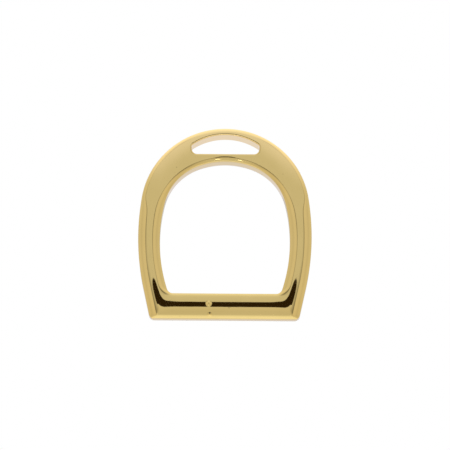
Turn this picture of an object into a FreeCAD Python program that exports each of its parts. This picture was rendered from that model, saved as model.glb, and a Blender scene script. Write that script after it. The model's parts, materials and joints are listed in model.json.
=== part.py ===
import FreeCAD, Part
import os
import Sketcher
from math import hypot, sqrt
from FreeCAD import Vector

# Stirrup iron for a 25 mm (one inch) strap: one small polished casting.
# Frame: +Z up, X across the iron, the front face looks along -Y.
# The origin is on the ground, in the middle of the tread's underside.
# The casting is drawn once, as one body, and is then divided on flat planes
# into its members: the eye head, the two branches and the tread bar.

doc = FreeCAD.newDocument("StirrupIron")

# ---------------------------------------------------------------- driving sizes, mm
DIMS = {
    "iron_height": 75.7,        # ground to the crown of the arch
    "iron_depth": 8.2,          # front face to back face
    "top_radius": 32.9,         # outer arch over the strap eye
    "half_width": 33.75,        # widest place of the outer outline
    "widest_height": 32.5,      # height of that widest place
    "foot_half_width": 28.9,    # outer outline where it meets the ground
    "corner_radius": 2.0,       # lower outer corners
    "opening_top": 62.45,       # crown of the foot opening
    "crown_radius": 29.7,       # arc over the foot opening
    "shoulder_radius": 21.2,    # arcs between that crown and the sides
    "side_radius": 63.5,        # arcs down the sides
    "opening_half": 25.3,       # widest place of the foot opening
    "opening_widest": 30.8,     # height of that widest place
    "tread_top": 9.85,          # ground to the tread's top
    "inner_corner": 2.4,        # corners between tread and branches
    "eye_half": 13.25,          # strap eye, half of its clear width
    "eye_bottom": 65.3,         # ground to the strap's seat
    "eye_wall": 2.7,            # bar over the middle of the eye
    "eye_roof": 23.0,           # arch of the eye's roof
    "eye_corner": 2.2,          # corners at the strap's seat
    "eye_top_corner": 1.2,      # corners under the roof
    "eye_rim": 0.5,             # rounding where the eye breaks the faces
    "bevel_slope": 68.0,        # bevels lean this far from the front-to-back line, degrees
    "bevel_depth": 1.25,        # deepest cut of the bevels
    "crown_bevel": 1.35,        # width of the inner bevel under the eye
    "side_bevel": 2.75,         # width of the inner bevel on the branches
    "tread_bevel": 1.2,         # width of the inner bevel on the tread
    "facet_half": 32.3,         # border of the outer bevel, widest place
    "facet_height": 55.0,       # height of that widest place
    "facet_radius": 250.0,      # border of the outer bevel
    "edge_chamfer": 0.4,        # broken edge of the outer outline
    "edge_depth": 0.5,          # deepest cut of that broken edge
    "edge_lean": 45.0,          # lean of that broken edge, degrees
    "belly_top": 17.0,          # below this height the faces curve back towards the ground
    "belly_radius": 160.0,      # radius of that curve
    "belly_foot": 1.0,          # height of the tread's lower bevel
    "belly_foot_in": 0.6,       # how far that bevel steps in
    "branch_top": 44.0,         # height where the branches join the eye head
}
VOLUME_SLACK = 0.001            # members may differ from the casting by this share
TOUCH = 0.01                    # closer than this counts as the same place
MARGIN = 5.0                    # how far cutting shapes reach past the iron
BEYOND = 1.0                    # how far the tread's dividing planes reach past it

sheet = doc.addObject("Spreadsheet::Sheet", "Dims")
for row, (alias, value) in enumerate(DIMS.items(), start=1):
    sheet.set("A%d" % row, alias)
    sheet.set("B%d" % row, str(value))
    sheet.setAlias("B%d" % row, alias)
doc.recompute()


def dim(name):
    return DIMS[name]


def ref(text):
    """Turn bare size names into references to the sheet."""
    words = text.replace("(", " ( ").replace(")", " ) ").split()
    return " ".join("Dims." + word if word in DIMS else word for word in words)


def plane(body, role):
    for feature in body.Origin.OriginFeatures:
        if feature.Role == role:
            return feature


def new_sketch(body, name, role):
    sketch = body.newObject("Sketcher::SketchObject", name)
    sketch.AttachmentSupport = [(plane(body, role), "")]
    sketch.MapMode = "FlatFace"
    return sketch


def on_face(sketch, side):
    """Move a sketch from the middle plane to the front (-1) or back (+1) face."""
    sign = "-" if side > 0 else ""
    sketch.setExpression("AttachmentOffset.Base.z", sign + ref("iron_depth / 2"))


def bind(sketch, name, constraint, text):
    """Add a dimension to a sketch and drive it from the sheet."""
    index = sketch.addConstraint(constraint)
    sketch.renameConstraint(index, name)
    sketch.setExpression("Constraints." + name, ref(text))


def gap(sketch, name, kind, a, b, value, text):
    """Bind the distance from point a to point b, in whichever order makes it positive."""
    if value < 0:
        a, b, value = b, a, -value
    bind(sketch, name, Sketcher.Constraint(kind, *a, *b, value), text)


START, END, CENTRE = 1, 2, 3
ORIGIN, X_AXIS, Y_AXIS = (-1, 1), -1, -2


def line(sketch, a, b):
    return sketch.addGeometry(Part.LineSegment(Vector(*a), Vector(*b)))


def arc(sketch, centre, radius, a, b):
    """Arc from point a to point b, counter-clockwise about the centre."""
    circle = Part.Circle(Vector(centre[0], centre[1]), Vector(0, 0, 1), radius)
    start = circle.parameter(Vector(*a))
    end = circle.parameter(Vector(*b))
    return sketch.addGeometry(Part.ArcOfCircle(circle, start, end))


class Arch:
    """The outer outline: top arc, one long arc and one straight line per side, flat foot."""

    def __init__(self, top, radius, half, widest, foot, foot_half):
        self.centre = top - radius
        self.radius = radius
        self.widest = widest
        self.foot = foot
        self.foot_half = foot_half
        rise = self.centre - widest
        self.side_radius = (half ** 2 - radius ** 2 + rise ** 2) / (2 * (half - radius))
        self.side_centre = half - self.side_radius

    def top_joint(self):
        """Where the top arc runs into the side arc, on the right."""
        dx = -self.side_centre
        dz = self.centre - self.widest
        scale = self.side_radius / hypot(dx, dz)
        return (self.side_centre + dx * scale, self.widest + dz * scale)

    def line_joint(self):
        """Where the side arc runs into the straight line, on the right."""
        dx = self.foot_half - self.side_centre
        dz = self.foot - self.widest
        span = hypot(dx, dz)
        along = self.side_radius ** 2 / span
        across = self.side_radius * sqrt(1 - (self.side_radius / span) ** 2)
        x = self.side_centre + (dx * along - dz * across) / span
        z = self.widest + (dz * along + dx * across) / span
        return (x, z)


class Opening:
    """The foot opening's outline: crown arc, shoulder arcs and side arcs over a flat foot."""

    def __init__(self, top, crown, shoulder, side, half, widest, foot):
        self.foot = foot
        self.crown_centre = (0.0, top - crown)
        self.side_centre = (half - side, widest)
        # The shoulder's circle touches the crown's and the side's from the inside.
        to_crown = (side - half, top - crown - widest)
        span = hypot(*to_crown)
        along = (span ** 2 + (side - shoulder) ** 2 - (crown - shoulder) ** 2) / (2 * span)
        across = sqrt((side - shoulder) ** 2 - along ** 2)
        self.shoulder_centre = (
            self.side_centre[0] + (to_crown[0] * along - to_crown[1] * across) / span,
            self.side_centre[1] + (to_crown[1] * along + to_crown[0] * across) / span,
        )
        self.crown_joint = self.beyond(self.crown_centre, crown)
        self.side_joint = self.beyond(self.side_centre, side)
        self.foot_half = half - side + sqrt(side ** 2 - (foot - widest) ** 2)

    def beyond(self, centre, radius):
        """The point at this radius from the centre, in the direction of the shoulder's centre."""
        dx = self.shoulder_centre[0] - centre[0]
        dz = self.shoulder_centre[1] - centre[1]
        scale = radius / hypot(dx, dz)
        return (centre[0] + dx * scale, centre[1] + dz * scale)


def draw_arch(sketch, names):
    """Draw the outer outline and tie its sizes to the sheet. The names are their formulas."""
    arch = Arch(**evaluate(names))
    joint = arch.top_joint()
    end = arch.line_joint()
    foot = (arch.foot_half, arch.foot)

    def left(point):
        return (-point[0], point[1])

    centre = (arch.side_centre, arch.widest)
    base = line(sketch, left(foot), foot)
    right_line = line(sketch, foot, end)
    right_arc = arc(sketch, centre, arch.side_radius, end, joint)
    top = arc(sketch, (0, arch.centre), arch.radius, joint, left(joint))
    left_arc = arc(sketch, left(centre), arch.side_radius, left(joint), left(end))
    left_line = line(sketch, left(end), left(foot))

    def add(*args):
        sketch.addConstraint(Sketcher.Constraint(*args))

    add("Coincident", base, END, right_line, START)
    add("Tangent", right_line, END, right_arc, START)
    add("Tangent", right_arc, END, top, START)
    add("Tangent", top, END, left_arc, START)
    add("Tangent", left_arc, END, left_line, START)
    add("Coincident", left_line, END, base, START)
    add("Symmetric", base, START, base, END, Y_AXIS)
    add("Symmetric", right_arc, CENTRE, left_arc, CENTRE, Y_AXIS)
    add("Equal", right_arc, left_arc)

    tag = sketch.Name
    height = ("DistanceY", *ORIGIN)
    bind(sketch, tag + "_top_radius",
         Sketcher.Constraint("Radius", top, arch.radius), names["radius"])
    bind(sketch, tag + "_top_centre",
         Sketcher.Constraint(*height, top, CENTRE, arch.centre),
         "( %s ) - ( %s )" % (names["top"], names["radius"]))
    bind(sketch, tag + "_widest",
         Sketcher.Constraint(*height, right_arc, CENTRE, arch.widest), names["widest"])
    bind(sketch, tag + "_side_radius",
         Sketcher.Constraint("Radius", right_arc, arch.side_radius), side_radius_formula(names))
    bind(sketch, tag + "_foot_width",
         Sketcher.Constraint("DistanceX", base, START, base, END, 2 * arch.foot_half),
         "2 * ( %s )" % names["foot_half"])
    if arch.foot:
        bind(sketch, tag + "_foot",
             Sketcher.Constraint(*height, base, END, arch.foot), names["foot"])
    else:
        add("PointOnObject", base, END, X_AXIS)


def draw_opening(sketch, names):
    """Draw the foot opening and tie its sizes to the sheet."""
    sizes = evaluate(names)
    shape = Opening(**sizes)
    foot = (shape.foot_half, shape.foot)

    def left(point):
        return (-point[0], point[1])

    base = line(sketch, left(foot), foot)
    side = arc(sketch, shape.side_centre, sizes["side"], foot, shape.side_joint)
    shoulder = arc(sketch, shape.shoulder_centre, sizes["shoulder"],
                   shape.side_joint, shape.crown_joint)
    crown = arc(sketch, shape.crown_centre, sizes["crown"],
                shape.crown_joint, left(shape.crown_joint))
    left_shoulder = arc(sketch, left(shape.shoulder_centre), sizes["shoulder"],
                        left(shape.crown_joint), left(shape.side_joint))
    left_side = arc(sketch, left(shape.side_centre), sizes["side"],
                    left(shape.side_joint), left(foot))

    def add(*args):
        sketch.addConstraint(Sketcher.Constraint(*args))

    add("Coincident", base, END, side, START)
    add("Tangent", side, END, shoulder, START)
    add("Tangent", shoulder, END, crown, START)
    add("Tangent", crown, END, left_shoulder, START)
    add("Tangent", left_shoulder, END, left_side, START)
    add("Coincident", left_side, END, base, START)
    add("Symmetric", base, START, base, END, Y_AXIS)
    add("Symmetric", side, CENTRE, left_side, CENTRE, Y_AXIS)
    add("Equal", shoulder, left_shoulder)
    add("PointOnObject", crown, CENTRE, Y_AXIS)

    tag = sketch.Name
    for key, element in (("side", side), ("shoulder", shoulder), ("crown", crown)):
        bind(sketch, tag + "_" + key,
             Sketcher.Constraint("Radius", element, sizes[key]), names[key])
    gap(sketch, tag + "_top_centre", "DistanceY", ORIGIN, (crown, CENTRE),
        shape.crown_centre[1], "( %s ) - ( %s )" % (names["top"], names["crown"]))
    gap(sketch, tag + "_widest", "DistanceY", ORIGIN, (side, CENTRE),
        sizes["widest"], names["widest"])
    gap(sketch, tag + "_side_centre", "DistanceX", ORIGIN, (side, CENTRE),
        shape.side_centre[0], "( %s ) - ( %s )" % (names["side"], names["half"]))
    gap(sketch, tag + "_foot", "DistanceY", ORIGIN, (base, END), sizes["foot"], names["foot"])


def side_radius_formula(names):
    """The side arc that touches the top arc and reaches the stated half width."""
    words = "( ( {half} ) ^ 2 - ( {radius} ) ^ 2 + ( ( {top} ) - ( {radius} ) - ( {widest} ) ) ^ 2 )"
    return (words + " / ( 2 * ( ( {half} ) - ( {radius} ) ) )").format(**names)


def evaluate(names):
    """An outline's sizes, worked out from its formulas for the first drawing."""
    return {key: float(sheet.evalExpression(ref(text))) for key, text in names.items()}


def pocket(body, sketch, name, length=None, through=False, taper=None):
    """Cut a sketch out of the body, towards the material on whichever side it lies."""
    before = body.Shape.Volume
    cut = body.newObject("PartDesign::Pocket", name)
    cut.Profile = sketch
    if through:
        cut.Type = "ThroughAll"
        cut.Midplane = True
    else:
        cut.setExpression("Length", length)
    if taper:
        cut.setExpression("TaperAngle", taper)
    doc.recompute()
    if body.Shape.isNull() or body.Shape.Volume > before - TOUCH:
        cut.Reversed = not cut.Reversed
        doc.recompute()
    return cut


# ---------------------------------------------------------------- the casting
casting = doc.addObject("PartDesign::Body", "Casting")
casting.Label = "casting"

OUTLINE = {
    "top": "iron_height",
    "radius": "top_radius",
    "half": "half_width",
    "widest": "widest_height",
    "foot": "0",
    "foot_half": "foot_half_width",
}
outline = new_sketch(casting, "Outline", "XZ_Plane")
draw_arch(outline, OUTLINE)
slab = casting.newObject("PartDesign::Pad", "Slab")
slab.Profile = outline
slab.Midplane = True
slab.setExpression("Length", ref("iron_depth"))
doc.recompute()

OPENING = {
    "top": "opening_top",
    "crown": "crown_radius",
    "shoulder": "shoulder_radius",
    "side": "side_radius",
    "half": "opening_half",
    "widest": "opening_widest",
    "foot": "tread_top",
}
opening = new_sketch(casting, "FootOpening", "XZ_Plane")
draw_opening(opening, OPENING)
pocket(casting, opening, "FootOpeningCut", through=True)

eye = new_sketch(casting, "StrapEye", "XZ_Plane")
eye_centre = dim("iron_height") - dim("eye_wall") - dim("eye_roof")
eye_shoulder = eye_centre + sqrt(dim("eye_roof") ** 2 - dim("eye_half") ** 2)
seat_right = (dim("eye_half"), dim("eye_bottom"))
seat_left = (-dim("eye_half"), dim("eye_bottom"))
roof_right = (dim("eye_half"), eye_shoulder)
roof_left = (-dim("eye_half"), eye_shoulder)
seat = line(eye, seat_left, seat_right)
right_wall = line(eye, seat_right, roof_right)
roof = arc(eye, (0, eye_centre), dim("eye_roof"), roof_right, roof_left)
left_wall = line(eye, roof_left, seat_left)
for first, second in ((seat, right_wall), (right_wall, roof), (roof, left_wall), (left_wall, seat)):
    eye.addConstraint(Sketcher.Constraint("Coincident", first, END, second, START))
for wall in (right_wall, left_wall):
    eye.addConstraint(Sketcher.Constraint("Vertical", wall))
eye.addConstraint(Sketcher.Constraint("PointOnObject", roof, CENTRE, Y_AXIS))
eye.addConstraint(Sketcher.Constraint("Symmetric", seat, START, seat, END, Y_AXIS))
bind(eye, "eye_width",
     Sketcher.Constraint("DistanceX", seat, START, seat, END, 2 * dim("eye_half")), "2 * eye_half")
bind(eye, "eye_seat_height",
     Sketcher.Constraint("DistanceY", *ORIGIN, seat, END, dim("eye_bottom")), "eye_bottom")
bind(eye, "eye_roof_centre",
     Sketcher.Constraint("DistanceY", *ORIGIN, roof, CENTRE, eye_centre),
     "iron_height - eye_wall - eye_roof")
bind(eye, "eye_roof_radius",
     Sketcher.Constraint("Radius", roof, dim("eye_roof")), "eye_roof")
pocket(casting, eye, "StrapEyeCut", through=True)


def round_edges(name, radius, wanted):
    """Round the edges of the casting that the test picks out."""
    base = casting.Tip
    names = []
    for index, edge in enumerate(base.Shape.Edges, start=1):
        if wanted(edge.BoundBox):
            names.append("Edge%d" % index)
    fillet = casting.newObject("PartDesign::Fillet", name)
    fillet.Base = (base, names)
    fillet.setExpression("Radius", ref(radius))
    doc.recompute()
    return fillet


def runs_through(box):
    """True for an edge that runs straight from the front face to the back face."""
    return box.YLength > dim("iron_depth") / 2 and box.XLength + box.ZLength < TOUCH


def corner_at(height):
    """A test for the corner edges at one height."""
    return lambda box: runs_through(box) and abs(box.ZMin - height) < TOUCH


def is_eye_rim(box):
    on_one_face = box.YLength < TOUCH
    in_the_eye = max(-box.XMin, box.XMax) < dim("eye_half") + TOUCH
    return on_one_face and in_the_eye and box.ZMin > dim("opening_top")


round_edges("EyeSeatCorners", "eye_corner", corner_at(dim("eye_bottom")))
round_edges("EyeRoofCorners", "eye_top_corner", corner_at(eye_shoulder))
round_edges("InnerCorners", "inner_corner", corner_at(dim("tread_top")))
round_edges("OuterCorners", "corner_radius", corner_at(0.0))
round_edges("EyeRim", "eye_rim", is_eye_rim)

# Low down, the front and back faces curve gently towards each other, so the tread is
# thinner at the ground than the branches are. A narrow bevel ends each face.
for side, word in ((-1, "Front"), (1, "Back")):
    belly = new_sketch(casting, "Belly" + word, "YZ_Plane")
    face = side * dim("iron_depth") / 2
    radius = dim("belly_radius")
    drop = dim("belly_top") - dim("belly_foot")
    centre = (face - side * radius, dim("belly_top"))
    start = (face, dim("belly_top"))
    knee = (centre[0] + side * sqrt(radius ** 2 - drop ** 2), dim("belly_foot"))
    foot = (knee[0] - side * 2 * dim("belly_foot_in"), -dim("belly_foot"))
    outside = face + side * MARGIN
    if side < 0:
        curve = arc(belly, centre, radius, start, knee)
        curve_start, curve_end = START, END
    else:
        curve = arc(belly, centre, radius, knee, start)
        curve_start, curve_end = END, START
    bevel = line(belly, knee, foot)
    under = line(belly, foot, (outside, foot[1]))
    wall = line(belly, (outside, foot[1]), (outside, start[1]))
    roof = line(belly, (outside, start[1]), start)

    def tie(*args):
        belly.addConstraint(Sketcher.Constraint(*args))

    tie("Coincident", curve, curve_end, bevel, START)
    tie("Coincident", bevel, END, under, START)
    tie("Coincident", under, END, wall, START)
    tie("Coincident", wall, END, roof, START)
    tie("Coincident", roof, END, curve, curve_start)
    tie("Horizontal", under)
    tie("Horizontal", roof)
    tie("Vertical", wall)
    tie("Horizontal", curve, CENTRE, curve, curve_start)
    tag = "belly_" + word.lower()
    bind(belly, tag + "_radius", Sketcher.Constraint("Radius", curve, radius), "belly_radius")
    bind(belly, tag + "_top",
         Sketcher.Constraint("DistanceY", *ORIGIN, curve, curve_start, start[1]), "belly_top")
    bind(belly, tag + "_knee",
         Sketcher.Constraint("DistanceY", *ORIGIN, curve, curve_end, knee[1]), "belly_foot")
    bind(belly, tag + "_under",
         Sketcher.Constraint("DistanceY", under, START, *ORIGIN, -foot[1]), "belly_foot")
    gap(belly, tag + "_face", "DistanceX", ORIGIN, (curve, curve_start), start[0],
        "iron_depth / 2")
    gap(belly, tag + "_step", "DistanceX", (bevel, START), (bevel, END), foot[0] - knee[0],
        "2 * belly_foot_in")
    gap(belly, tag + "_outside", "DistanceX", ORIGIN, (wall, END), outside,
        "iron_depth / 2 + %g" % MARGIN)
    pocket(casting, belly, "Belly%sCut" % word, through=True)

INNER_BEVEL = {
    "top": "opening_top + crown_bevel",
    "crown": "crown_radius + crown_bevel",
    "shoulder": "shoulder_radius + side_bevel",
    "side": "side_radius + side_bevel",
    "half": "opening_half + side_bevel",
    "widest": "opening_widest",
    "foot": "tread_top - tread_bevel",
}
BROKEN_EDGE = {
    "top": "iron_height - edge_chamfer",
    "radius": "top_radius - edge_chamfer",
    "half": "half_width - edge_chamfer",
    "widest": "widest_height",
    "foot": "edge_chamfer",
    "foot_half": "foot_half_width - edge_chamfer",
}


def draw_box(sketch, half, low, high):
    """Draw a rectangle well outside the iron, centred on the upright axis."""
    corners = [(-half, low), (half, low), (half, high), (-half, high)]
    sides = []
    for index, corner in enumerate(corners):
        sides.append(line(sketch, corner, corners[(index + 1) % 4]))
    for index, element in enumerate(sides):
        after = sides[(index + 1) % 4]
        sketch.addConstraint(Sketcher.Constraint("Coincident", element, END, after, START))
        word = "Vertical" if index % 2 else "Horizontal"
        if index:
            sketch.addConstraint(Sketcher.Constraint(word, element))
    base, _, roof, _ = sides
    sketch.addConstraint(Sketcher.Constraint("Symmetric", base, START, base, END, Y_AXIS))
    tag = sketch.Name
    bind(sketch, tag + "_box_width",
         Sketcher.Constraint("DistanceX", base, START, base, END, 2 * half),
         "2 * ( half_width + %g )" % MARGIN)
    bind(sketch, tag + "_box_top",
         Sketcher.Constraint("DistanceY", *ORIGIN, roof, START, high),
         "iron_height + %g" % MARGIN)
    bind(sketch, tag + "_box_base",
         Sketcher.Constraint("DistanceY", base, START, *ORIGIN, -low), "%g" % MARGIN)


def draw_outer_bevel(sketch):
    """Two regions outside the branches. Their inner borders are long arcs."""
    radius = dim("facet_radius")
    height = dim("facet_height")
    low = -MARGIN
    high = height + MARGIN
    wall_x = dim("half_width") + MARGIN
    tag = sketch.Name
    for side in (1, -1):
        centre = (side * (dim("facet_half") - radius), height)

        def border(z):
            return (centre[0] + side * sqrt(radius ** 2 - (z - height) ** 2), z)

        lower = border(low)
        upper = border(high)
        if side > 0:
            curve = arc(sketch, centre, radius, lower, upper)
            low_end, high_end = START, END
        else:
            curve = arc(sketch, centre, radius, upper, lower)
            low_end, high_end = END, START
        roof = line(sketch, upper, (side * wall_x, high))
        wall = line(sketch, (side * wall_x, high), (side * wall_x, low))
        base = line(sketch, (side * wall_x, low), lower)

        def tie(*args):
            sketch.addConstraint(Sketcher.Constraint(*args))

        tie("Coincident", curve, high_end, roof, START)
        tie("Coincident", roof, END, wall, START)
        tie("Coincident", wall, END, base, START)
        tie("Coincident", base, END, curve, low_end)
        tie("Horizontal", roof)
        tie("Vertical", wall)
        tie("Horizontal", base)
        name = tag + ("_right" if side > 0 else "_left")
        bind(sketch, name + "_radius",
             Sketcher.Constraint("Radius", curve, radius), "facet_radius")
        bind(sketch, name + "_height",
             Sketcher.Constraint("DistanceY", *ORIGIN, curve, CENTRE, height), "facet_height")
        bind(sketch, name + "_top",
             Sketcher.Constraint("DistanceY", *ORIGIN, roof, START, high),
             "facet_height + %g" % MARGIN)
        bind(sketch, name + "_base",
             Sketcher.Constraint("DistanceY", base, START, *ORIGIN, -low), "%g" % MARGIN)
        gap(sketch, name + "_centre", "DistanceX", ORIGIN, (curve, CENTRE), centre[0],
            "facet_radius - facet_half")
        gap(sketch, name + "_wall", "DistanceX", ORIGIN, (wall, START), side * wall_x,
            "half_width + %g" % MARGIN)


for side, word in ((-1, "Front"), (1, "Back")):
    inner = new_sketch(casting, "InnerBevel" + word, "XZ_Plane")
    on_face(inner, side)
    draw_opening(inner, INNER_BEVEL)
    pocket(casting, inner, "InnerBevel%sCut" % word,
           length="Dims.bevel_depth", taper="-Dims.bevel_slope")
    outer = new_sketch(casting, "OuterBevel" + word, "XZ_Plane")
    on_face(outer, side)
    draw_outer_bevel(outer)
    pocket(casting, outer, "OuterBevel%sCut" % word,
           length="Dims.bevel_depth", taper="-Dims.bevel_slope")
    broken = new_sketch(casting, "BrokenEdge" + word, "XZ_Plane")
    on_face(broken, side)
    draw_box(broken, dim("half_width") + MARGIN, -MARGIN, dim("iron_height") + MARGIN)
    draw_arch(broken, BROKEN_EDGE)
    pocket(casting, broken, "BrokenEdge%sCut" % word,
           length="Dims.edge_depth", taper="-Dims.edge_lean")


# ---------------------------------------------------------------- the members
def region_box(name, x_low, width, z_low, height):
    """A box deeper than the iron, used to keep one member of the casting."""
    box = doc.addObject("Part::Box", name)
    box.setExpression("Length", ref(width))
    box.setExpression("Width", ref("2 * iron_depth"))
    box.setExpression("Height", ref(height))
    box.setExpression("Placement.Base.x", ref(x_low))
    box.setExpression("Placement.Base.y", ref("0 - iron_depth"))
    box.setExpression("Placement.Base.z", ref(z_low))
    return box


def member(name, kind, base, tool):
    """A part of the casting, named after the file it is exported to."""
    part = doc.addObject(kind, name.title().replace("_", ""))
    part.Base = base
    part.Tool = tool
    part.Label = name
    part.Placement = FreeCAD.Placement()
    return part


# The tread bar ends on slanted planes through the inner and the outer corners.
tread_region = doc.addObject("PartDesign::Body", "TreadRegion")
mitre = new_sketch(tread_region, "Mitre", "XZ_Plane")
inner_foot = Opening(**evaluate(OPENING)).foot_half
slant = (dim("foot_half_width") - inner_foot) / dim("tread_top")
low_half = dim("foot_half_width") + slant * BEYOND
high_half = inner_foot - slant * BEYOND
above = dim("tread_top") + BEYOND
corners = [(-low_half, -BEYOND), (low_half, -BEYOND), (high_half, above), (-high_half, above)]
sides = []
for index, corner in enumerate(corners):
    sides.append(line(mitre, corner, corners[(index + 1) % 4]))
for index, element in enumerate(sides):
    after = sides[(index + 1) % 4]
    mitre.addConstraint(Sketcher.Constraint("Coincident", element, END, after, START))
base, _, roof, _ = sides
mitre.addConstraint(Sketcher.Constraint("Symmetric", base, START, base, END, Y_AXIS))
mitre.addConstraint(Sketcher.Constraint("Symmetric", roof, START, roof, END, Y_AXIS))
INNER_FOOT = ("( opening_half - side_radius + ( side_radius ^ 2"
              " - ( opening_widest - tread_top ) ^ 2 ) ^ 0.5 )")
SLANT = "( foot_half_width - %s ) / tread_top" % INNER_FOOT
bind(mitre, "mitre_base_width",
     Sketcher.Constraint("DistanceX", base, START, base, END, 2 * low_half),
     "2 * ( foot_half_width + ( %s ) * %g )" % (SLANT, BEYOND))
bind(mitre, "mitre_top_width",
     Sketcher.Constraint("DistanceX", roof, END, roof, START, 2 * high_half),
     "2 * ( %s - ( %s ) * %g )" % (INNER_FOOT, SLANT, BEYOND))
bind(mitre, "mitre_base",
     Sketcher.Constraint("DistanceY", base, START, *ORIGIN, BEYOND), "%g" % BEYOND)
bind(mitre, "mitre_top",
     Sketcher.Constraint("DistanceY", *ORIGIN, roof, START, above),
     "tread_top + %g" % BEYOND)
block = tread_region.newObject("PartDesign::Pad", "TreadBlock")
block.Profile = mitre
block.Midplane = True
block.setExpression("Length", ref("2 * iron_depth"))

head_region = region_box("HeadRegion", "0 - 2 * half_width", "4 * half_width",
                         "branch_top", "iron_height")
left_region = region_box("LeftRegion", "0 - 2 * half_width", "2 * half_width",
                         "0 - iron_depth", "branch_top + iron_depth")
right_region = region_box("RightRegion", "0", "2 * half_width",
                          "0 - iron_depth", "branch_top + iron_depth")
rest = doc.addObject("Part::Cut", "AboveTread")
rest.Base = casting
rest.Tool = tread_region
members = [
    member("eye_head", "Part::Common", rest, head_region),
    member("left_branch", "Part::Common", rest, left_region),
    member("right_branch", "Part::Common", rest, right_region),
    member("tread_bar", "Part::Common", casting, tread_region),
]
doc.recompute()

# ---------------------------------------------------------------- checks and files
for item in doc.Objects:
    if "Invalid" in item.State or "Error" in item.State:
        raise RuntimeError("%s did not build: %s" % (item.Label, item.State))
whole = casting.Shape.Volume
for part in members:
    shape = part.Shape
    if shape.isNull() or not shape.isValid() or len(shape.Solids) != 1:
        raise RuntimeError("%s has no valid solid" % part.Label)
parted = sum(part.Shape.Volume for part in members)
if abs(parted - whole) > VOLUME_SLACK * whole:
    raise RuntimeError("the members do not add up to the casting")

os.makedirs("parts", exist_ok=True)
for part in members:
    part.Shape.exportStep("parts/%s.step" % part.Label)
    print(part.Label, round(part.Shape.Volume, 1), part.Shape.BoundBox)
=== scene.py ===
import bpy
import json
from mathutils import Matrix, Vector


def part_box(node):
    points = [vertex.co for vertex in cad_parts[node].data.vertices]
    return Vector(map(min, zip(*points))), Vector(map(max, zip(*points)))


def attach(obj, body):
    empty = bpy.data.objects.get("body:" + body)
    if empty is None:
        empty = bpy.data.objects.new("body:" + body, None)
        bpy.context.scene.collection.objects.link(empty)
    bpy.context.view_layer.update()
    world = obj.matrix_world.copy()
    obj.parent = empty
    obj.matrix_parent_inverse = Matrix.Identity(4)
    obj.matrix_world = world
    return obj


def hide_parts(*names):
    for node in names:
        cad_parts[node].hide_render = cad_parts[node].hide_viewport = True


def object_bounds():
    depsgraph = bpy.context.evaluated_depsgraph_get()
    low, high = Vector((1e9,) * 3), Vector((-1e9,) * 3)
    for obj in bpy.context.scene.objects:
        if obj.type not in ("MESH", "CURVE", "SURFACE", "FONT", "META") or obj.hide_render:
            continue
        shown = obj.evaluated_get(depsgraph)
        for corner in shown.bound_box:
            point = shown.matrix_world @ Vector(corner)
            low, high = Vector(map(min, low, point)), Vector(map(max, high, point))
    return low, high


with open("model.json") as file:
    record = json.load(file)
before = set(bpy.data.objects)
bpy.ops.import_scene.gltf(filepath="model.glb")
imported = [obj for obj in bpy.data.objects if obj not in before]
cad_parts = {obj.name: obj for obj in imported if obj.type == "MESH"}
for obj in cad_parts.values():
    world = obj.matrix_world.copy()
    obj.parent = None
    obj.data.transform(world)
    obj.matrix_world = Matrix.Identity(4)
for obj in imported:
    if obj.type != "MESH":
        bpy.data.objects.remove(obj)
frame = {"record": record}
import json
import math

import bpy
import numpy as np
from mathutils import Matrix, Vector
from mathutils.geometry import area_tri, delaunay_2d_cdt

# Polished stirrup iron. Lengths are in millimetres until a mesh is made.
MM = 0.001
START_LOW, START_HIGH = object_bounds()

# ------------------------------------------------------------------ sizes
HEIGHT = START_HIGH.z / MM
HALF_WIDTH = START_HIGH.x / MM
HALF_DEPTH = START_HIGH.y / MM
MOUNTS = {mount["name"]: mount for mount in frame["record"]["mounts"]}
TREAD_TOP = MOUNTS["tread_top"]["pos_m"][2] / MM
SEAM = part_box("eye_head")[0].z / MM     # height where the branches join the eye head

TOP_RADIUS = 32.9        # outer arch
WIDEST = 32.5            # height of the widest place
FOOT_HALF = 28.9         # outer outline at the ground
CORNER = 2.0             # lower outer corners

OPENING_TOP = 62.45
OPENING_WIDEST = 30.8
OPENING_HALF = 25.3
CROWN_RADIUS = 29.7      # arcs of the opening, from the crown down
SHOULDER_RADIUS = 21.2
SIDE_RADIUS = 63.5
OPENING_CORNER = 2.4
BORDER_SHOULDER = 26.0   # the inner bevel's border turns more widely
BORDER_CORNER = 6.5

EYE_HALF = 13.25
EYE_SEAT = 65.3
EYE_WALL = 2.7
EYE_ROOF = 23.0          # radius of the eye's roof
EYE_CORNER = 2.2         # corners at the seat
EYE_TOP_CORNER = 1.2     # corners under the roof
EYE_RIM = 0.65           # width of the soft edge round the eye
EYE_RIM_DEPTH = 0.35

CROWN_BEVEL = 1.35       # inner bevel under the eye
SIDE_BEVEL = 2.7         # inner bevel on the branches
TREAD_BEVEL = 1.2        # inner bevel on the tread
FOOT_BEVEL = 1.15        # outer bevel along the tread's lower edge
OUTER_BEVEL = 2.75       # outer bevel on the branches
HEAD_BEVEL = 1.3         # outer bevel where the head turns into a branch
CROWN_SOFT = 1.45        # soft outer edge at the crown
FACET_CORNER = 0.4       # corner of the facet above the foot bevel
EDGE_SOFT = 0.28         # rounding where a bevel turns into a wall
CREASE = 0.55            # width over which a facet turns into a bevel
TAPER_TOP = 17.0         # below this height the faces lean back towards the ground
TAPER_RADIUS = 160.0


# ------------------------------------------------------------------ outlines
# Sections along each stretch of a half: above the seam, below it, the corner, the foot.
COUNTS = {"upper": 130, "lower": 70, "corner": 12, "foot": 40}
TINY = 1e-9              # keeps an empty stretch from dividing by nothing


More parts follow.
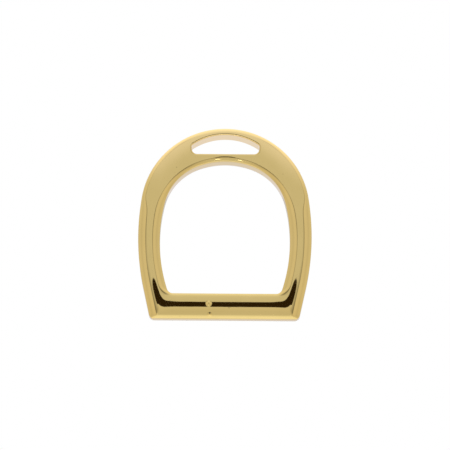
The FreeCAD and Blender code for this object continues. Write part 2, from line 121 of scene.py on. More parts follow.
class Path:
    """A chain of arcs and lines, sampled by length.

    The normals point away from an arc's centre, and to one side of a line: 1 left, -1 right.
    """

    def __init__(self, side=1):
        self.parts = []
        self.side = side

    def line(self, a, b):
        self.parts.append(("line", np.array(a, float), np.array(b, float)))
        return self

    def arc(self, centre, radius, start, stop):
        self.parts.append(("arc", np.array(centre, float), radius, start, stop))
        return self

    def lengths(self):
        found = []
        for part in self.parts:
            if part[0] == "line":
                found.append(np.linalg.norm(part[2] - part[1]))
            else:
                found.append(abs(part[2] * (part[4] - part[3])))
        return found

    def sample(self, count, last=False):
        """Points spread evenly over the path, without the last one unless asked."""
        lengths = self.lengths()
        ends = np.concatenate([[0], np.cumsum(lengths)])
        steps = np.linspace(0, 1, count + 1)
        steps = steps if last else steps[:-1]
        points, normals = [], []
        for at in ends[-1] * steps:
            index = min(int(np.searchsorted(ends, at, side="right")) - 1, len(lengths) - 1)
            share = (at - ends[index]) / max(lengths[index], TINY)
            part = self.parts[index]
            if part[0] == "line":
                way = (part[2] - part[1]) / max(lengths[index], TINY)
                points.append(part[1] + (part[2] - part[1]) * share)
                normals.append((-way[1] * self.side, way[0] * self.side))
            else:
                angle = part[3] + (part[4] - part[3]) * share
                out = np.array([math.cos(angle), math.sin(angle)])
                points.append(part[1] + part[2] * out)
                normals.append(out)
        return np.array(points), np.array(normals)


class Outline:
    """The right half of an arch-shaped outline, from the crown down to the middle of the foot.

    It is made of arcs, as (centre, radius, angle they end at), and may end in a line.
    """

    def __init__(self, arcs, foot, foot_half, corner, seam):
        centre, radius, _ = arcs[-1]
        if foot_half is None:
            across = radius - corner
            lower = math.asin((foot + corner - centre[1]) / across)
            fillet = (centre[0] + across * math.cos(lower), foot + corner)
        else:
            span = math.hypot(foot_half - centre[0], foot - centre[1])
            lower = math.atan2(foot - centre[1], foot_half - centre[0]) + math.acos(radius / span)
            fillet = (foot_half - corner * (1 + math.sin(lower)) / math.cos(lower), foot + corner)
        self.upper, self.lower = Path(), Path()
        start = math.pi / 2
        for middle, size, stop in arcs[:-1] + [(centre, radius, lower)]:
            sine = (seam - middle[1]) / size
            turn = math.asin(sine) if abs(sine) < 1 else math.pi / 2
            turn = min(max(turn, stop), start)
            if turn < start:
                self.upper.arc(middle, size, start, turn)
            if turn > stop:
                self.lower.arc(middle, size, turn, stop)
            start = stop
        if foot_half is not None:
            out = np.array([math.cos(lower), math.sin(lower)])
            self.lower.line(np.array(centre) + radius * out, np.array(fillet) + corner * out)
        self.corner = Path().arc(fillet, corner, lower, -math.pi / 2)
        self.foot = Path().line((fillet[0], foot), (0.0, foot))

    def half(self):
        """Points and outward normals of the whole half."""
        side = [self.upper.sample(COUNTS["upper"]), self.lower.sample(COUNTS["lower"])]
        return half_points(side, self.corner, self.foot)


def outer_arcs():
    """The arch over the eye and the long side arc that touches it."""
    centre = (0.0, HEIGHT - TOP_RADIUS)
    rise = centre[1] - WIDEST
    reach = HALF_WIDTH - TOP_RADIUS
    side = (HALF_WIDTH ** 2 - TOP_RADIUS ** 2 + rise ** 2) / (2 * reach)
    middle = (HALF_WIDTH - side, WIDEST)
    return [(centre, TOP_RADIUS, math.atan2(rise, -middle[0])), (middle, side, None)]


def opening_arcs(crown_step, side_step, shoulder):
    """Crown, shoulder and side arcs of the foot opening, set outwards by two steps."""
    crown = CROWN_RADIUS + crown_step
    side = SIDE_RADIUS + side_step
    top = np.array([0.0, OPENING_TOP + crown_step - crown])
    middle = np.array([OPENING_HALF - SIDE_RADIUS, OPENING_WIDEST])
    way = top - middle
    span = np.linalg.norm(way)
    way /= span
    along = (span ** 2 + (side - shoulder) ** 2 - (crown - shoulder) ** 2) / (2 * span)
    across = math.sqrt((side - shoulder) ** 2 - along ** 2)
    turned = np.array([-way[1], way[0]])
    bend = middle + along * way + across * turned
    from_top = bend - top
    from_side = bend - middle
    return [(tuple(top), crown, math.atan2(from_top[1], from_top[0])),
            (tuple(bend), shoulder, math.atan2(from_side[1], from_side[0])),
            (tuple(middle), side, None)]


def half_points(side, corner, foot):
    """Points and outward normals of one half, from the crown to the foot's middle."""
    parts = side + [corner.sample(COUNTS["corner"]), foot.sample(COUNTS["foot"], last=True)]
    return np.vstack([part[0] for part in parts]), np.vstack([part[1] for part in parts])


# The outline, the opening, and the inner bevel's border on the front.
outer_arch = Outline(outer_arcs(), 0.0, FOOT_HALF, CORNER, SEAM)
inner_arch = Outline(opening_arcs(0.0, 0.0, SHOULDER_RADIUS), TREAD_TOP,
                     None, OPENING_CORNER, SEAM)
border_arch = Outline(opening_arcs(CROWN_BEVEL, SIDE_BEVEL, BORDER_SHOULDER),
                      TREAD_TOP - TREAD_BEVEL, None, BORDER_CORNER, SEAM)
outer_edge, outer_normal = outer_arch.half()
inner_edge, inner_normal = inner_arch.half()
inner_border, border_normal = border_arch.half()

HALF_COUNT = len(outer_edge)

# Where along the half each style of section holds: head, then branch, then foot.
station = np.arange(HALF_COUNT)
SEAM_AT = COUNTS["upper"]
CORNER_AT = SEAM_AT + COUNTS["lower"]
FOOT_AT = CORNER_AT + COUNTS["corner"]
BRANCH_BLEND = (-36, 26)     # sections from the seam over which the head turns into the branch
OUTER_BLEND = (-14, 6)       # the same for the outer bevel
FOOT_BLEND = 4               # sections kept clear at each end of the corner


def smooth(x, low, high):
    """A smooth step from 0 to 1 while x runs from low to high."""
    t = np.clip((x - low) / (high - low), 0, 1)
    return t * t * (3 - 2 * t)


branch_share = smooth(station, SEAM_AT + BRANCH_BLEND[0], SEAM_AT + BRANCH_BLEND[1])
outer_share = smooth(station, SEAM_AT + OUTER_BLEND[0], SEAM_AT + OUTER_BLEND[1])
foot_share = smooth(station, CORNER_AT + FOOT_BLEND, FOOT_AT - FOOT_BLEND)

# The inner border of the outer bevel. Over the eye it is the width of a soft edge.
width = CROWN_SOFT + (HEAD_BEVEL - CROWN_SOFT) * np.clip(station / SEAM_AT, 0, 1)
width += (OUTER_BEVEL - HEAD_BEVEL) * outer_share
side_normal = outer_normal[:CORNER_AT]
side_border = outer_edge[:CORNER_AT] - side_normal * width[:CORNER_AT, None]
leaning = side_normal[-1]
corner_z = FOOT_BEVEL + FACET_CORNER
corner_x = (leaning @ side_border[-1] - FACET_CORNER - leaning[1] * corner_z) / leaning[0]
corner_turn = math.atan2(leaning[1], leaning[0])
corner_border = Path().arc((corner_x, corner_z), FACET_CORNER, corner_turn, -math.pi / 2)
foot_border = Path().line((corner_x, FOOT_BEVEL), (0.0, FOOT_BEVEL))
outer_border, facet_normal = half_points([(side_border, side_normal)], corner_border, foot_border)


def style(head, branch, foot, sharing=branch_share):
    """Blend one angle of the section along the half."""
    upper = head + (branch - head) * sharing
    return upper + (foot - upper) * foot_share


# ------------------------------------------------------------------ section
WALL_SLOPE = 80.0        # degrees that an edge is turned when it meets the wall
LEAST_SQUARE = 0.5       # the least that a cross line aslant at the corners counts for


def squareness(start, stop, facing):
    """How squarely each cross line runs to the outline: 1 at right angles to it."""
    way = stop - start
    way /= np.linalg.norm(way, axis=1)[:, None]
    facing = facing / np.linalg.norm(facing, axis=1)[:, None]
    return np.clip(np.sum(way * facing, axis=1), LEAST_SQUARE, 1.0)


square_in = squareness(inner_edge, inner_border, inner_normal)
square_facet = squareness(inner_border, outer_border, inner_normal + outer_normal)
square_out = squareness(outer_border, outer_edge, outer_normal)


def section(index):
    """One half section, from the opening to the outline: points, depths and front normals.

    The knots are (distance across, slope in degrees). A slope above 0 rises away from the opening.
    """
    bevel_in = np.linalg.norm(inner_border[index] - inner_edge[index])
    facet = np.linalg.norm(outer_border[index] - inner_border[index])
    bevel_out = np.linalg.norm(outer_edge[index] - outer_border[index])
    crest = CREST[index]
    barrel = BARREL[index] * facet * square_facet[index]
    knots = [
        (0.0, WALL_SLOPE),
        (EDGE_SOFT, SLOPES["inner_edge"][index]),
        (bevel_in, SLOPES["inner_border"][index]),
        (bevel_in + INNER_CREASE[index], barrel * crest),
        (bevel_in + facet * crest, 0.0),
        (bevel_in + facet - OUTER_CREASE[index], -barrel * (1 - crest)),
        (bevel_in + facet, -SLOPES["outer_border"][index]),
        (bevel_in + facet + bevel_out / 2, -SLOPES["outer_middle"][index]),
        (bevel_in + facet + bevel_out - EDGE_SOFT, -SLOPES["outer_edge"][index]),
        (bevel_in + facet + bevel_out, -WALL_SLOPE),
    ]
    at, slope = [], []
    for (a0, s0), (a1, s1), steps in zip(knots, knots[1:], STEPS):
        t = np.linspace(0, 1, steps, endpoint=False)
        at.append(a0 + (a1 - a0) * t)
        slope.append(s0 + (s1 - s0) * t)
    at.append([knots[-1][0]])
    slope.append([knots[-1][1]])
    at = np.concatenate(at)
    slope = np.radians(np.concatenate(slope))
    middles = (at[1:] + at[:-1]) / 2
    square = np.where(middles < bevel_in, square_in[index],
                      np.where(middles < bevel_in + facet, square_facet[index], square_out[index]))
    steps = np.diff(at) * square * np.tan((slope[1:] + slope[:-1]) / 2)
    rise = np.concatenate([[0], np.cumsum(steps)])
    middle = sum(STEPS[:4])
    depth = rise[middle] - rise
    bounds = [0.0, bevel_in, bevel_in + facet, bevel_in + facet + bevel_out]

    def across(*stops):
        """A quantity known at the two edges and the two borders, along the section."""
        return np.column_stack([np.interp(at, bounds, [stop[index][c] for stop in stops])
                                for c in (0, 1)])

    points = across(inner_edge, inner_border, outer_border, outer_edge)
    out = across(inner_normal, border_normal, facet_normal, outer_normal)
    out /= np.linalg.norm(out, axis=1)[:, None]
    low = np.clip(TAPER_TOP - points[:, 1], 0, None)
    depth = depth + low ** 2 / (2 * TAPER_RADIUS)
    rising = np.tan(slope)
    facing = np.column_stack([-rising * out[:, 0], -np.ones(len(at)),
                              -rising * out[:, 1] - low / TAPER_RADIUS])
    facing /= np.linalg.norm(facing, axis=1)[:, None]
    return points, depth, facing


STEPS = [5, 9, 4, 6, 6, 4, 6, 6, 5]     # points between one knot and the next
SLOPES = {
    "inner_edge": style(27.0, 30.0, 28.0),
    "inner_border": style(10.0, 10.0, 12.0),
    "outer_border": style(11.0, 10.0, 25.0, outer_share),
    "outer_middle": style(19.0, 20.0, 32.0),
    "outer_edge": style(38.0, 32.0, 38.0),
}
BRANCH_BARREL = 1.6                # the facets crown by this many degrees per mm
TREAD_BARREL = 0.8                 # and by this much more on the tread
tread_share = smooth(station, CORNER_AT + 6, FOOT_AT + 8)
BARREL = BRANCH_BARREL * branch_share ** 2 + TREAD_BARREL * tread_share
CREST = style(0.5, 0.43, 0.474)    # where the crown lies across the facet
OUTER_CREASE = style(0.08, CREASE, CREASE)
CROWN_CREASE = 0.42                # extra width of the crease at the very crown
INNER_CREASE = style(0.16, CREASE, CREASE) + CROWN_CREASE * (1 - smooth(station, 6, 20))
FACET_FROM = sum(STEPS[:3])        # the crown of the facet runs between these points
FACET_TO = sum(STEPS[:5])
FRONT = sum(STEPS) + 1             # points on the front
WALL = 4                           # points on each wall between the front and the back edge

half_sections = [section(index) for index in range(HALF_COUNT)]
sections = half_sections + [
    (points * (-1, 1), depth, facing * (-1, 1, 1))
    for points, depth, facing in half_sections[-2:0:-1]
]
LOOP = len(sections)


def ring(index):
    """Points and normals of a closed section: front, outer wall, back, inner wall."""
    points, depth, facing = sections[index]
    across = np.linspace(0, 1, WALL + 2)[1:-1]
    front = np.column_stack([points[:, 0], depth - HALF_DEPTH, points[:, 1]])
    back = (front * (1, -1, 1))[::-1]
    mirrored = (facing * (1, -1, 1))[::-1]

    def wall(start, stop, normal):
        rows = start + (stop - start) * across[:, None]
        flat = np.array([normal[0], 0.0, normal[2]])
        return rows, np.tile(flat / np.linalg.norm(flat), (WALL, 1))

    outer_rows, outer_facing = wall(front[-1], back[0], facing[-1])
    inner_rows, inner_facing = wall(back[-1], front[0], facing[0])
    return (np.vstack([front, outer_rows, back, inner_rows]),
            np.vstack([facing, outer_facing, mirrored, inner_facing]))


RING = 2 * FRONT + 2 * WALL
rings = [ring(index) for index in range(LOOP)]
grid = np.array([points for points, _ in rings])
normal = np.array([facing for _, facing in rings])

vertices = [tuple(p) for p in grid.reshape(-1, 3)]
normals = [tuple(n) for n in normal.reshape(-1, 3)]


def vertex(i, k):
    """Number of point k of section i."""
    return (i % LOOP) * RING + k % RING


# ------------------------------------------------------------------ the strap eye
eye_centre = (0.0, HEIGHT - EYE_WALL - EYE_ROOF)
fillet_x = EYE_HALF - EYE_CORNER
top_x = EYE_HALF - EYE_TOP_CORNER
roof_fillet = eye_centre[1] + math.sqrt((EYE_ROOF - EYE_TOP_CORNER) ** 2 - top_x ** 2)
roof_turn = math.atan2(roof_fillet - eye_centre[1], top_x)
seat_fillet = EYE_SEAT + EYE_CORNER
quarter = math.pi / 2
eye_path = Path(side=-1)
eye_path.line((0, EYE_SEAT), (fillet_x, EYE_SEAT))
eye_path.arc((fillet_x, seat_fillet), EYE_CORNER, -quarter, 0)
eye_path.line((EYE_HALF, seat_fillet), (EYE_HALF, roof_fillet))
eye_path.arc((top_x, roof_fillet), EYE_TOP_CORNER, 0, roof_turn)
eye_path.arc(eye_centre, EYE_ROOF, roof_turn, math.pi - roof_turn)
eye_path.arc((-top_x, roof_fillet), EYE_TOP_CORNER, math.pi - roof_turn, math.pi)
eye_path.line((-EYE_HALF, roof_fillet), (-EYE_HALF, seat_fillet))
eye_path.arc((-fillet_x, seat_fillet), EYE_CORNER, math.pi, 1.5 * math.pi)
eye_path.line((-fillet_x, EYE_SEAT), (0, EYE_SEAT))
EYE_COUNT = 220
eye_points, eye_out = eye_path.sample(EYE_COUNT)

# The eye's soft edge: (share of its width, from the face to the wall; slope in degrees).
RIM_SLOPES = [(0.0, 0.0), (0.45, 12.0), (0.78, 40.0), (1.0, 85.0)]
RIM_STEPS = 12
rim_at = np.linspace(0, 1, RIM_STEPS + 1)
rim_slope = np.radians(np.interp(rim_at, *zip(*RIM_SLOPES)))
rim_drop = np.concatenate([[0], np.cumsum(np.tan((rim_slope[1:] + rim_slope[:-1]) / 2))])
rim_drop *= EYE_RIM_DEPTH / rim_drop[-1]
front_rows = [(EYE_RIM * (1 - at), -HALF_DEPTH + drop, math.sin(slope), -math.cos(slope))
              for at, drop, slope in zip(rim_at, rim_drop, rim_slope)]
wall_half = HALF_DEPTH - EYE_RIM_DEPTH
wall_rows = [(0.0, -wall_half + 2 * wall_half * share, 1.0, 0.0)
             for share in np.linspace(0, 1, WALL + 2)]
back_rows = [(offset, -y, inward, -facing) for offset, y, inward, facing in reversed(front_rows)]
eye_rows = front_rows[:-1] + wall_rows + back_rows[1:]
EYE_BASE = len(vertices)
for offset, y, inward, facing in eye_rows:
    for (x, z), (ox, oz) in zip(eye_points, eye_out):
        vertices.append((x + ox * offset, y, z + oz * offset))
        normals.append((-ox * inward, facing, -oz * inward))


def eye_vertex(row, i):
    """Number of point i in a row round the eye."""
    return EYE_BASE + row * EYE_COUNT + i % EYE_COUNT


# ------------------------------------------------------------------ faces
FILL = SEAM_AT // 2      # stations either side of the crown whose flat face holds the eye
groups = {"eye_head": [], "right_branch": [], "left_branch": [], "tread_bar": []}
corner_middle = CORNER_AT + COUNTS["corner"] // 2


def member(i):
    """The member of the casting that the strip after station i belongs to."""
    right = i < HALF_COUNT - 1
    at = i if right else LOOP - 1 - i
    if at < SEAM_AT:
        return "eye_head"
    if at < corner_middle:
        return "right_branch" if right else "left_branch"
    return "tread_bar"


def in_fill(i):
    """Whether the strip after station i crosses the flat face that holds the eye."""
    return i < FILL or i >= LOOP - FILL


def is_flat(k):
    """Whether the strip after point k lies on the facet, front or back."""
    front = FACET_FROM <= k < FACET_TO
    mirrored = 2 * FRONT + WALL - 2 - k
    return front or FACET_FROM <= mirrored < FACET_TO


for i in range(LOOP):
    for k in range(RING):
        if in_fill(i) and is_flat(k):
            continue
        groups[member(i)].append((vertex(i, k), vertex(i + 1, k),
                                  vertex(i + 1, k + 1), vertex(i, k + 1)))

EYE_ROWS = len(eye_rows)
for row in range(EYE_ROWS - 1):
    for i in range(EYE_COUNT):
        groups["eye_head"].append((eye_vertex(row, i), eye_vertex(row, i + 1),
                                   eye_vertex(row + 1, i + 1), eye_vertex(row + 1, i)))

# The flat face around the eye, on the front and the back: a polygon with the eye as its hole.
fill_stations = list(range(LOOP - FILL, LOOP)) + list(range(FILL + 1))
rim = [(i, FACET_FROM) for i in fill_stations]
rim += [(fill_stations[-1], k) for k in range(FACET_FROM + 1, FACET_TO)]
rim += [(i, FACET_TO) for i in reversed(fill_stations)]
rim += [(fill_stations[0], k) for k in range(FACET_TO - 1, FACET_FROM, -1)]
front_ids = [vertex(i, k) for i, k in rim] + [eye_vertex(0, i) for i in range(EYE_COUNT)]
back_ids = [vertex(i, 2 * FRONT + WALL - 1 - k) for i, k in rim]
back_ids += [eye_vertex(EYE_ROWS - 1, i) for i in range(EYE_COUNT)]
flat_points = [Vector((vertices[v][0], vertices[v][2])) for v in front_ids]
rim_edges = [(i, (i + 1) % len(rim)) for i in range(len(rim))]
hole_edges = [(len(rim) + i, len(rim) + (i + 1) % EYE_COUNT) for i in range(EYE_COUNT)]
WELD = 1e-7              # points nearer than this, in mm, count as one
corners_2d, _, triangles, origins, _, _ = delaunay_2d_cdt(
    flat_points, rim_edges + hole_edges, [], 0, WELD)
rim_points = np.array([tuple(p) for p in flat_points[:len(rim)]])
hole_points = np.array([tuple(p) for p in flat_points[len(rim):]])


def inside(point, polygon):
    """Whether a point lies inside a polygon, by the even-odd test."""
    x, z = point
    x0, z0 = polygon[:, 0], polygon[:, 1]
    x1, z1 = np.roll(x0, -1), np.roll(z0, -1)
    crosses = (z0 > z) != (z1 > z)
    with np.errstate(divide="ignore", invalid="ignore"):
        at = x0 + (z - z0) * (x1 - x0) / (z1 - z0)
    return bool(np.count_nonzero(crosses & (x < at)) % 2)


SLIVER = 1e-3            # triangles smaller than this, in mm2, are slivers along straight ends
source = [ids[0] for ids in origins]
for face in triangles:
    corners = [corners_2d[v] for v in face]
    middle = sum(corners, Vector((0, 0))) / 3
    if area_tri(*corners) < SLIVER:
        continue
    if inside(middle, rim_points) and not inside(middle, hole_points):
        groups["eye_head"].append(tuple(front_ids[source[v]] for v in face))
        groups["eye_head"].append(tuple(back_ids[source[v]] for v in reversed(face)))
for v in front_ids:
    normals[v] = (0.0, -1.0, 0.0)
for v in back_ids:
    normals[v] = (0.0, 1.0, 0.0)


# ------------------------------------------------------------------ material
def new_material(name):
    material = bpy.data.materials.new(name)
    material.use_nodes = True
    material.node_tree.nodes.clear()
    return material, material.node_tree


def node(tree, kind, inputs=None, **settings):
    made = tree.nodes.new(kind)
    for key, value in settings.items():
        setattr(made, key, value)
    for key, value in (inputs or {}).items():
        socket = made.inputs[key]
        if isinstance(value, bpy.types.NodeSocket):
            tree.links.new(value, socket)
        else:
            socket.default_value = value
    return made


def value(tree, operation, *inputs):
    """One number worked out from others."""
    return node(tree, "ShaderNodeMath", dict(enumerate(inputs)), operation=operation).outputs[0]


def fade(tree, at, low, high, start, stop):
    """A smooth step between two values while the input runs from low to high."""
    return node(tree, "ShaderNodeMapRange", {0: at, 1: low, 2: high, 3: start, 4: stop},
                interpolation_type="SMOOTHSTEP").outputs[0]


def noise(tree, scale, detail=2.0, stretch=None):
    """A noise pattern. The scale counts features per metre."""
    vector = coords.outputs["Object"]
    if stretch:
        vector = node(tree, "ShaderNodeMapping",
                      {0: vector, 2: stretch[0], 3: stretch[1]}).outputs[0]
    return node(tree, "ShaderNodeTexNoise",
                {"Vector": vector, "Scale": scale, "Detail": detail}).outputs[0]


def distance(tree, x, z):
    """Distance in metres from a line through (x, z), in mm, that runs front to back."""
    flat = node(tree, "ShaderNodeVectorMath", {0: coords.outputs["Object"], 1: (1, 0, 1)},
                operation="MULTIPLY").outputs[0]
    return node(tree, "ShaderNodeVectorMath", {0: flat, 1: (x * MM, 0, z * MM)},
                operation="DISTANCE").outputs["Value"]


gold, tree = new_material("polished_gold")
coords = node(tree, "ShaderNodeTexCoord")
axes = node(tree, "ShaderNodeSeparateXYZ", {0: coords.outputs["Object"]})

# Painted reflection: the gold is made paler towards the rim and top of the head, standing in for
# the brighter reflection there.
GOLD = (0.78, 0.605, 0.248, 1)
PALE_GOLD = (1.0, 0.775, 0.37, 1)
PAINTED_SHEEN_RADII = (25.0, 32.5)        # from the arch's centre, where the painted paler tone starts and is full
PAINTED_SHEEN_DROPS = (26.0, 9.0)         # the same, down from the top
CLOUD = 0.06                       # uneven share of the painted paler tone
reach = distance(tree, 0.0, HEIGHT - TOP_RADIUS)
towards_rim = fade(tree, reach, PAINTED_SHEEN_RADII[0] * MM, PAINTED_SHEEN_RADII[1] * MM, 0.0, 1.0)
towards_top = fade(tree, axes.outputs["Z"], (HEIGHT - PAINTED_SHEEN_DROPS[0]) * MM,
                   (HEIGHT - PAINTED_SHEEN_DROPS[1]) * MM, 0.0, 1.0)
painted_sheen = value(tree, "MULTIPLY", towards_rim, towards_top)
cloud = fade(tree, noise(tree, 90.0), 0.35, 0.65, -CLOUD, CLOUD)
painted_sheen = value(tree, "ADD", painted_sheen, cloud)
# Painted highlight: the paler gold is mixed in by this mask; the plating itself does not change.
tone = node(tree, "ShaderNodeMix", {0: painted_sheen, 6: GOLD, 7: PALE_GOLD}, data_type="RGBA").outputs[2]

# Marks left by the mould on the front: (x, z, radius, height) in mm.
MARKS = [
    (-6.05, 5.75, 1.35, 0.26),
    (-5.65, 1.5, 1.1, 0.16),
    (1.95, 4.0, 0.45, 0.06),
    (-17.2, 0.6, 0.4, 0.03),
    (-19.0, 60.0, 0.35, 0.010),
    (22.5, 57.5, 0.30, 0.008),
]
relief = 0.0
for x, z, size, rise in MARKS:
    mark = fade(tree, distance(tree, x, z), 0.0, size * MM, rise * MM, 0.0)
    relief = value(tree, "ADD", relief, mark)
relief = value(tree, "MULTIPLY", relief, value(tree, "LESS_THAN", axes.outputs["Y"], 0.0))

# Hand polishing leaves soft waves and fine lines that run up and down. Heights are in mm.
WAVE = 0.012
GRAIN = 0.00045
waves = value(tree, "MULTIPLY", noise(tree, 150.0, 1.0), WAVE * MM)
fine = noise(tree, 2600.0, 3.0)
lines = noise(tree, 900.0, 2.0, ((0.0, 0.35, 0.0), (1.0, 4.0, 0.08)))
grain = value(tree, "MULTIPLY", lines, GRAIN * MM)
relief = value(tree, "ADD", relief, value(tree, "ADD", waves, grain))
bump = node(tree, "ShaderNodeBump", {"Strength": 1.0, "Distance": 1.0, "Height": relief}).outputs[0]

# Wiping marks, dull specks and a worn foot change only the roughness.
POLISHED = 0.035
WIPED = 0.075
SPECK = 0.10
WORN = 0.08
WORN_HEIGHTS = (0.3, 1.6)          # full wear below the first, none above the second
wiping = noise(tree, 60.0, 3.0, ((0.0, 0.0, 0.5), (1.0, 1.0, 2.5)))
wiped = fade(tree, wiping, 0.4, 0.75, POLISHED, WIPED)
specks = fade(tree, fine, 0.68, 0.78, 0.0, SPECK)
low_wear = fade(tree, axes.outputs["Z"], WORN_HEIGHTS[0] * MM, WORN_HEIGHTS[1] * MM, WORN, 0.0)
roughness = value(tree, "ADD", value(tree, "ADD", wiped, specks), low_wear)

shader = node(tree, "ShaderNodeBsdfPrincipled",
              {"Base Color": tone, "Metallic": 1.0, "Roughness": roughness, "Normal": bump})
node(tree, "ShaderNodeOutputMaterial", {"Surface": shader.outputs[0]})


# ------------------------------------------------------------------ pieces
def make_piece(name, faces):
    """A smooth mesh object of its own from the shared vertices, in metres."""
    used = sorted({v for face in faces for v in face})
    renumber = {v: i for i, v in enumerate(used)}
    mesh = bpy.data.meshes.new(name)
    mesh.from_pydata([Vector(vertices[v]) * MM for v in used], [],
                     [[renumber[v] for v in face] for face in faces])
    mesh.polygons.foreach_set("use_smooth", [True] * len(mesh.polygons))
    mesh.normals_split_custom_set_from_vertices([normals[v] for v in used])
    mesh.materials.append(gold)
    piece = bpy.data.objects.new(name, mesh)
    bpy.context.scene.collection.objects.link(piece)
    return piece


for name, faces in groups.items():
    piece = make_piece(name + "_visual", faces)
    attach(piece, "root")
    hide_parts(name)

# ------------------------------------------------------------------ floor
# It shows only from above, so a view from below the level isn't blocked.
FLOOR = 3.0              # half its side, in metres
floor_mesh = bpy.data.meshes.new("floor")
corners = [(-FLOOR, -FLOOR, 0), (FLOOR, -FLOOR, 0), (FLOOR, FLOOR, 0), (-FLOOR, FLOOR, 0)]
floor_mesh.from_pydata(corners, [], [(0, 1, 2, 3)])
floor = bpy.data.objects.new("floor", floor_mesh)
bpy.context.scene.collection.objects.link(floor)
paper, tree = new_material("pale_floor")
geometry = node(tree, "ShaderNodeNewGeometry")
white = node(tree, "ShaderNodeBsdfDiffuse", {"Color": (0.92, 0.92, 0.92, 1)})
clear = node(tree, "ShaderNodeBsdfTransparent")
one_sided = node(tree, "ShaderNodeMixShader", {0: geometry.outputs["Backfacing"],
                                               1: white.outputs[0], 2: clear.outputs[0]})
node(tree, "ShaderNodeOutputMaterial", {"Surface": one_sided.outputs[0]})
floor_mesh.materials.append(paper)
floor.visible_glossy = False

# ------------------------------------------------------------------ studio
# A white tent, seen in the metal, with one dark hole for the lens. Angles are in degrees.
VIEW_TILT = 13.0         # how far below the level the camera looks up from
HOLE_TILT = 5.0
HOLE_RADIUS = 6.2
HOLE_EDGE = 0.3
LAMP_RADIUS = 1.1
LAMP_EDGE = 0.4
LAMP_LIGHT = (3.6, 3.6, 3.6, 1)
BEHIND_TONE = (0.62, 0.61, 0.69, 1)
GLOSS = 1.36             # how bright the tent is in the metal
world = bpy.data.worlds.new("studio")
world.use_nodes = True
tree = world.node_tree
tree.nodes.clear()
direction = node(tree, "ShaderNodeTexCoord").outputs["Generated"]


def degrees_from(tilt, turn=0.0):
    """Angle in degrees from a direction in front, tilted up and turned to the right."""
    t, r = math.radians(tilt), math.radians(turn)
    towards = (math.cos(t) * math.sin(r), -math.cos(t) * math.cos(r), math.sin(t))
    dot = node(tree, "ShaderNodeVectorMath", {0: direction, 1: towards},
               operation="DOT_PRODUCT").outputs["Value"]
    clamped = value(tree, "MINIMUM", value(tree, "MAXIMUM", dot, -1.0), 1.0)
    return value(tree, "MULTIPLY", value(tree, "ARCCOSINE", clamped), 180 / math.pi)


def ramp(at, low, high, stops):
    """Straight steps between (position, grey or colour) stops."""
    share = node(tree, "ShaderNodeMapRange", {0: at, 1: low, 2: high}).outputs[0]
    made = node(tree, "ShaderNodeValToRGB", {0: share})
    curve = made.color_ramp
    curve.interpolation = "LINEAR"
    while len(curve.elements) < len(stops):
        curve.elements.new(0.5)
    for element, (place, level) in zip(curve.elements, stops):
        element.position = (place - low) / (high - low)
        colour = (level,) * 3 if isinstance(level, float) else level
        element.color = (*colour, 1)
    return made.outputs[0]


def multiply(a, b):
    """The product of two colours."""
    return node(tree, "ShaderNodeMix", {0: 1.0, 6: a, 7: b}, data_type="RGBA",
                blend_type="MULTIPLY").outputs[2]


parts = node(tree, "ShaderNodeSeparateXYZ", {0: direction})
height = value(tree, "MULTIPLY", value(tree, "ARCSINE", parts.outputs["Z"]), 180 / math.pi)
sideways = value(tree, "ABSOLUTE", parts.outputs["X"])
# Brightness and warmth by height in degrees, and by how far sideways, from 0 to 1.
BY_HEIGHT = [(-90, 0.90), (-60, 0.88), (-48, 0.74), (-38, 0.58), (-12, 0.54), (0, 0.60),
             (13, 0.575), (22, 0.60), (30, 0.64), (40, 0.69), (56, 0.81), (90, 0.92)]
BY_SIDE = [(0.0, 1.0), (0.30, 0.97), (0.45, 1.06), (0.56, 1.02), (0.65, 0.93), (0.76, 1.0),
           (0.9, 1.06), (0.96, 1.05), (1.0, 0.8)]
# Two dark joins in the tent, one each side of the lens, and the heights they run between.
JOIN_SIDE = [(0.0, 1.0), (0.09, 1.0), (0.20, 0.18), (0.30, 1.0), (1.0, 1.0)]
JOIN_HEIGHT = [(-90, 0.0), (-16, 0.0), (0, 1.0), (24, 1.0), (40, 0.0), (90, 0.0)]
WARM_BY_HEIGHT = [(-90, 1.0), (-45, (1.0, 0.99, 0.93)), (-5, (1.0, 0.96, 0.87)),
                  (9, (0.975, 0.965, 0.95)), (90, 1.0)]
WARM_BY_SIDE = [(0.0, (0.97, 0.97, 0.97)), (0.12, (0.97, 0.97, 0.96)), (0.3, (1.0, 0.955, 0.88)),
                (1.0, (1.0, 0.97, 0.92))]
tent = multiply(ramp(height, -90, 90, BY_HEIGHT), ramp(sideways, 0, 1, BY_SIDE))
join = node(tree, "ShaderNodeMix", {0: ramp(height, -90, 90, JOIN_HEIGHT), 6: (1, 1, 1, 1),
                                    7: ramp(sideways, 0, 1, JOIN_SIDE)},
            data_type="RGBA").outputs[2]
tent = multiply(tent, join)
tent = multiply(tent, ramp(height, -90, 90, WARM_BY_HEIGHT))
tent = multiply(tent, ramp(sideways, 0, 1, WARM_BY_SIDE))
HOLE = (0.038, 0.0225, 0.0075)
hole = ramp(degrees_from(HOLE_TILT), 0, 12,
            [(0, HOLE), (HOLE_RADIUS - HOLE_EDGE, HOLE), (HOLE_RADIUS + HOLE_EDGE, 1.0)])
front = multiply(tent, hole)
LAMPS = [(-21.0, -6.8), (-21.5, 3.6)]      # tilt and turn of two small lamps under the hole
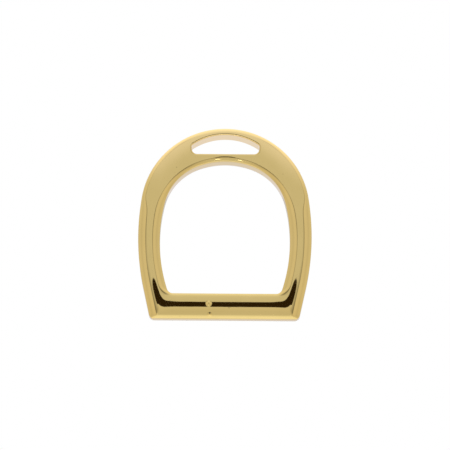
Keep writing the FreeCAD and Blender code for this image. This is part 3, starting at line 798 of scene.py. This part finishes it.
for lamp_tilt, lamp_turn in LAMPS:
    lamp = ramp(degrees_from(lamp_tilt, lamp_turn), 0, 12,
                [(0, 1.0), (LAMP_RADIUS, 1.0), (LAMP_RADIUS + LAMP_EDGE, 0.0)])
    front = node(tree, "ShaderNodeMix", {0: lamp, 6: front, 7: LAMP_LIGHT},
                 data_type="RGBA").outputs[2]
# Behind the iron the tent is plain and pale up to a little above the level.
behind = node(tree, "ShaderNodeMapRange", {0: parts.outputs["Y"], 1: 0.1, 2: 0.5}).outputs[0]
level = node(tree, "ShaderNodeMapRange", {0: height, 1: 8.0, 2: 12.0, 3: 1.0, 4: 0.0}).outputs[0]
behind = value(tree, "MULTIPLY", behind, level)
seen = node(tree, "ShaderNodeMix", {0: behind, 6: front, 7: BEHIND_TONE},
            data_type="RGBA").outputs[2]
paths = node(tree, "ShaderNodeLightPath")
is_glossy = paths.outputs["Is Glossy Ray"]
colour = node(tree, "ShaderNodeMix", {0: is_glossy, 6: (1, 1, 1, 1), 7: seen},
              data_type="RGBA").outputs[2]
strength = node(tree, "ShaderNodeMapRange", {0: is_glossy, 3: 1.0, 4: GLOSS}).outputs[0]
background = node(tree, "ShaderNodeBackground", {"Color": colour, "Strength": strength})
node(tree, "ShaderNodeOutputWorld", {"Surface": background.outputs[0]})
bpy.context.scene.world = world

# ------------------------------------------------------------------ camera
VIEW_WIDTH = 175.5       # mm seen across the frame at the object
DISTANCE = 1306.0
AIM = 37.75              # height looked at
ROLL = 0.4               # degrees
camera_data = bpy.data.cameras.new("camera")
camera_data.sensor_width = 36.0
camera_data.lens = camera_data.sensor_width * DISTANCE / VIEW_WIDTH
camera_data.clip_end = 100.0
camera = bpy.data.objects.new("camera", camera_data)
bpy.context.scene.collection.objects.link(camera)
tilt = math.radians(-VIEW_TILT)
back = Vector((0, -math.cos(tilt), math.sin(tilt)))
camera.location = (Vector((0, 0, AIM)) + back * DISTANCE) * MM
turn = (-back).to_track_quat("-Z", "Y").to_matrix().to_4x4()
camera.rotation_euler = (turn @ Matrix.Rotation(math.radians(ROLL), 4, "Z")).to_euler()
bpy.context.scene.camera = camera
bpy.context.scene.view_settings.view_transform = "Standard"
